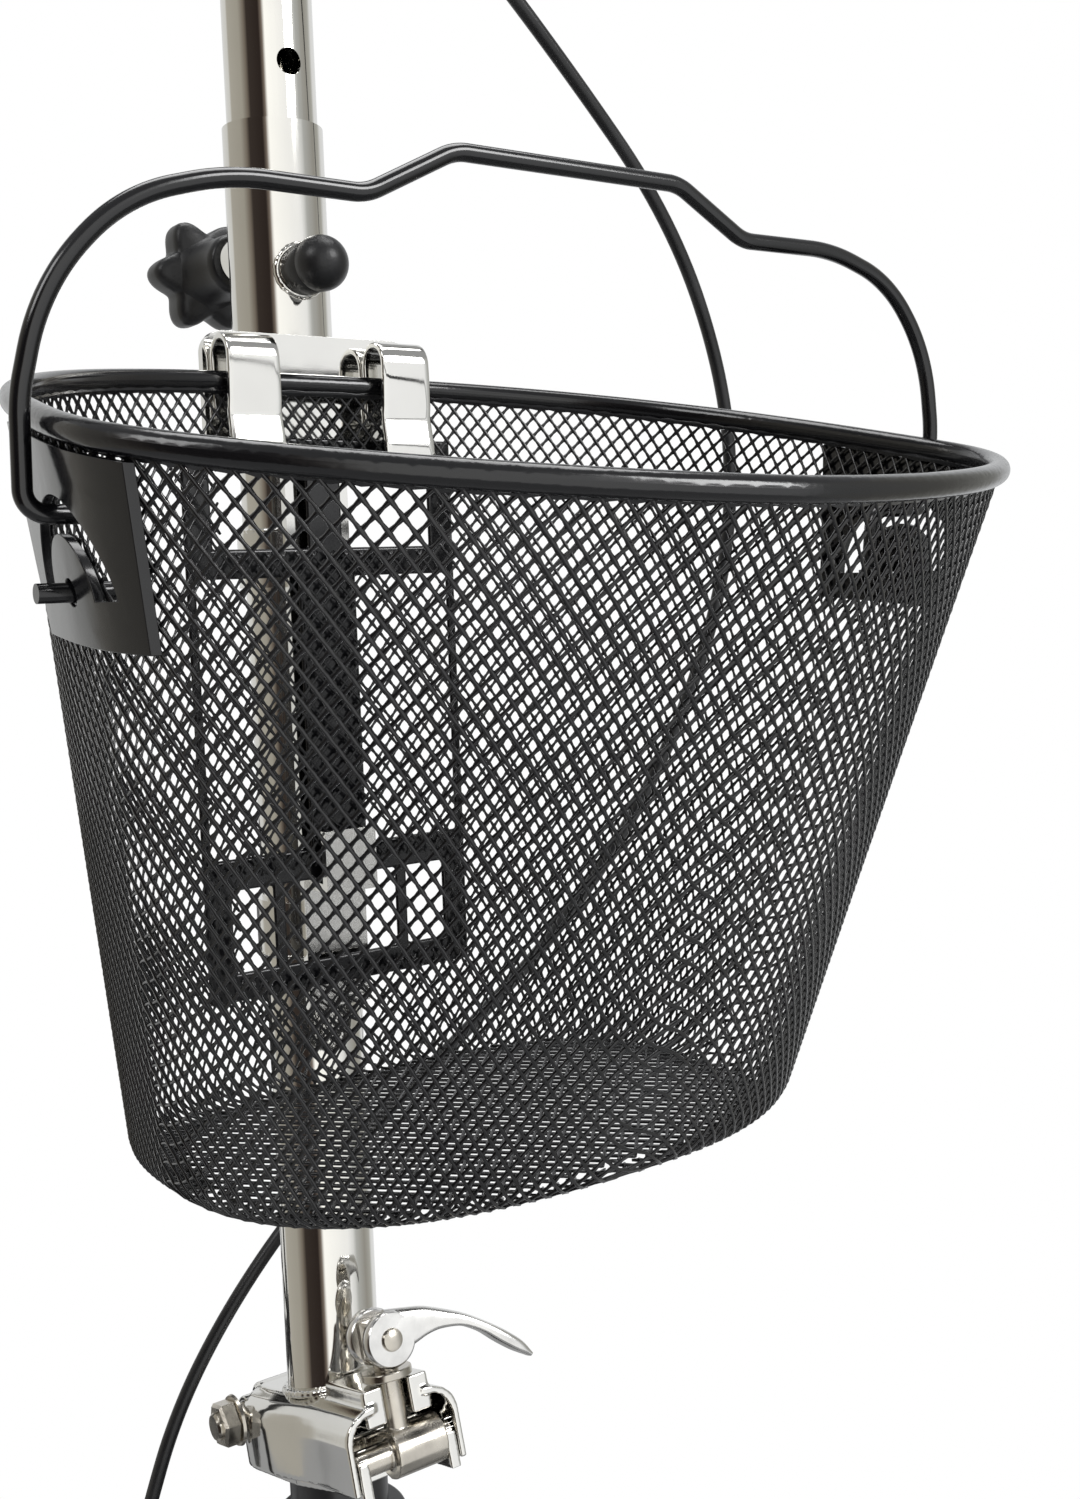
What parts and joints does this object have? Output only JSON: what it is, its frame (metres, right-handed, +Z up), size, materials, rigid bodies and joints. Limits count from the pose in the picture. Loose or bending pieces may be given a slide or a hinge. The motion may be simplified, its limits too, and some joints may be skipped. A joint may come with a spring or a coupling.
{
  "type": "knee scooter",
  "caption": "Steerable knee scooter with folding raked column, height-adjustable handlebar and knee pad, wire mesh basket with bail, hand brake and solid-tyred wheels.",
  "frame": {"origin": "on the floor, under the middle of the scooter's overall length and width", "axes": "+X forward, +Y to the rider's left, +Z up"},
  "size_m": [0.7933, 0.4296, 0.922],
  "materials": {
    "chrome_tube": "bright chrome plate",
    "chrome_bracket": "chrome plated pressed steel",
    "zinc": "zinc plated steel",
    "lever_alloy": "polished cast aluminium",
    "basket_black": "gloss black coated steel",
    "frame_black": "gloss black powder coat",
    "bar_black": "satin black",
    "steel_parts": "zinc plated steel",
    "post_chrome": "bright chrome plate",
    "knob_black": "moulded black nylon",
    "grip_rubber": "ribbed black rubber",
    "cable_black": "satin black cable housing",
    "control_black": "black coated alloy",
    "shoe_rubber": "black rubber block",
    "pad_cover": "black vinyl cover over foam",
    "tyre": "dark solid polyurethane",
    "hub_plastic": "black moulded nylon"
  },
  "bodies": {
    "frame": {"head_tube": "frame_black", "spine_tube": "frame_black", "front_beam": "frame_black", "rear_cross_tube": "frame_black", "knee_post_socket": "frame_black", "headset_bearings": "steel_parts", "kingpins": "steel_parts", "rear_axle": "steel_parts", "post_clamp": "control_black", "brake_bracket": "frame_black", "brake_cable_frame": "cable_black", "cable_clips": "cable_black"},
    "steering_base": {"steering_stem": "frame_black", "fold_channel": "chrome_bracket", "headset_cover": "frame_black", "fold_bolt": "zinc", "pitman_arm": "frame_black", "brake_cable_lower": "cable_black"},
    "column": {"column_tube": "chrome_tube", "fold_block": "chrome_bracket", "column_bosses": "chrome_tube", "basket_bracket": "chrome_bracket", "brake_cable_middle": "cable_black"},
    "latch": {"latch_eyebolt": "zinc", "latch_washer": "zinc"},
    "latch_lever": {"latch_lever": "lever_alloy"},
    "plunger": {"pull_plunger": "knob_black"},
    "knob": {"star_knob": "knob_black"},
    "handlebar_set": {"handlebar_post": "chrome_tube", "handlebar": "bar_black", "handlebar_lug": "bar_black", "grips": "grip_rubber", "brake_perch": "control_black", "bar_screws": "steel_parts", "brake_cable_upper": "cable_black"},
    "brake_lever": {"brake_lever": "control_black"},
    "basket": {"basket_mesh": "basket_black", "basket_rim": "basket_black", "basket_back_frame": "basket_black", "basket_hooks": "chrome_bracket", "bail_ears": "basket_black"},
    "bail": {"basket_bail": "basket_black"},
    "knuckle_left": {"knuckle_left": "frame_black"},
    "knuckle_right": {"knuckle_right": "frame_black"},
    "tie_rod_left": {"tie_rod_left": "steel_parts"},
    "tie_rod_right": {"tie_rod_right": "steel_parts"},
    "knee_rest": {"knee_post": "post_chrome", "pad_tray": "frame_black", "knee_pad": "pad_cover"},
    "clamp_lever": {"post_clamp_lever": "control_black"},
    "brake_arm": {"brake_arm": "frame_black", "brake_shoe": "shoe_rubber"},
    "wheel_front_left": {"tyre_front_left": "tyre", "wheel_hub_front_left": "hub_plastic"},
    "wheel_front_right": {"tyre_front_right": "tyre", "wheel_hub_front_right": "hub_plastic"},
    "wheel_rear_left": {"tyre_rear_left": "tyre", "wheel_hub_rear_left": "hub_plastic"},
    "wheel_rear_right": {"tyre_rear_right": "tyre", "wheel_hub_rear_right": "hub_plastic"}
  },
  "joints": [
    {"name": "steer", "type": "hinge", "parent": "frame", "child": "steering_base", "pos_m": [0.175, 0, 0.33], "axis": [-0.0558, 0, 0.9984], "range_deg": [-35, 35], "deforming": ["brake_cable_lower"]},
    {"name": "knuckle_left_turn", "type": "hinge", "parent": "frame", "child": "knuckle_left", "pos_m": [0.21294, 0.138, 0.33212], "axis": [-0.0558, 0, 0.9984], "range_deg": [-35, 35]},
    {"name": "tie_rod_left_swing", "type": "hinge", "parent": "steering_base", "child": "tie_rod_left", "pos_m": [0.14612, 0, 0.13008], "axis": [-0.0558, 0, 0.9984], "range_deg": [-35, 35]},
    {"name": "wheel_front_left_spin", "type": "hinge", "parent": "knuckle_left", "child": "wheel_front_left", "pos_m": [0.22592, 0.18, 0.1], "axis": [0, 1, 0], "continuous": true},
    {"name": "wheel_rear_left_spin", "type": "hinge", "parent": "frame", "child": "wheel_rear_left", "pos_m": [-0.295, 0.18, 0.1], "axis": [0, 1, 0], "continuous": true},
    {"name": "knuckle_right_turn", "type": "hinge", "parent": "frame", "child": "knuckle_right", "pos_m": [0.21294, -0.138, 0.33212], "axis": [-0.0558, 0, 0.9984], "range_deg": [-35, 35]},
    {"name": "tie_rod_right_swing", "type": "hinge", "parent": "steering_base", "child": "tie_rod_right", "pos_m": [0.14612, 0, 0.13008], "axis": [-0.0558, 0, 0.9984], "range_deg": [-35, 35]},
    {"name": "wheel_front_right_spin", "type": "hinge", "parent": "knuckle_right", "child": "wheel_front_right", "pos_m": [0.22592, -0.18, 0.1], "axis": [0, 1, 0], "continuous": true},
    {"name": "wheel_rear_right_spin", "type": "hinge", "parent": "frame", "child": "wheel_rear_right", "pos_m": [-0.295, -0.18, 0.1], "axis": [0, 1, 0], "continuous": true},
    {"name": "column_fold", "type": "hinge", "parent": "steering_base", "child": "column", "pos_m": [0.14698, 0, 0.3304], "axis": [0, -1, 0], "range_deg": [0, 30], "deforming": ["brake_cable_middle"]},
    {"name": "latch_swing", "type": "hinge", "parent": "column", "child": "latch", "pos_m": [0.22001, 0, 0.34853], "axis": [0, 1, 0], "range_deg": [0, 75]},
    {"name": "latch_lever_turn", "type": "hinge", "parent": "latch", "child": "latch_lever", "pos_m": [0.20772, 0, 0.38194], "axis": [0.9385, 0, 0.3453], "range_deg": [0, 110]},
    {"name": "plunger_pull", "type": "slide", "parent": "column", "child": "plunger", "axis": [0.9984, 0, 0.0558], "range_m": [0, 0.006], "stiffness_N_per_m": 800, "springref_m": -0.002},
    {"name": "knob_turn", "type": "hinge", "parent": "column", "child": "knob", "pos_m": [0.15245, 0, 0.73337], "axis": [-0.9984, 0, -0.0558], "range_deg": [0, 720]},
    {"name": "handlebar_height", "type": "slide", "parent": "column", "child": "handlebar_set", "axis": [-0.0558, 0, 0.9984], "range_m": [-0.0635, 0.09525], "deforming": ["brake_cable_upper"]},
    {"name": "brake_lever_pull", "type": "hinge", "parent": "handlebar_set", "child": "brake_lever", "pos_m": [0.17031, -0.066, 0.89762], "axis": [0.0558, 0, -0.9984], "range_deg": [0, 18], "stiffness_Nm_per_rad": 0.6, "springref_deg": -11.46},
    {"name": "basket_lift", "type": "slide", "parent": "column", "child": "basket", "axis": [-0.0558, 0, 0.9984], "range_m": [0, 0.02]},
    {"name": "bail_swing", "type": "hinge", "parent": "basket", "child": "bail", "pos_m": [0.30723, 0, 0.63406], "axis": [0, 1, 0], "range_deg": [-28, 14]},
    {"name": "knee_rest_height", "type": "slide", "parent": "frame", "child": "knee_rest", "axis": [0, 0, 1], "range_m": [0, 0.1]},
    {"name": "clamp_lever_turn", "type": "hinge", "parent": "frame", "child": "clamp_lever", "pos_m": [-0.175, 0.017, 0.288], "axis": [0, 0, 1], "range_deg": [0, 100]},
    {"name": "brake_arm_swing", "type": "hinge", "parent": "frame", "child": "brake_arm", "pos_m": [-0.175, -0.18, 0.152], "axis": [0, 1, 0], "range_deg": [0, 2.4], "deforming": ["brake_cable_frame"]}
  ],
  "couplings": [
    {"joint": "knuckle_left_turn", "follows": "steer", "ratio": 1},
    {"joint": "tie_rod_left_swing", "follows": "steer", "ratio": -1},
    {"joint": "knuckle_right_turn", "follows": "steer", "ratio": 1},
    {"joint": "tie_rod_right_swing", "follows": "steer", "ratio": -1},
    {"joint": "brake_arm_swing", "follows": "brake_lever_pull", "ratio": 0.125}
  ]
}
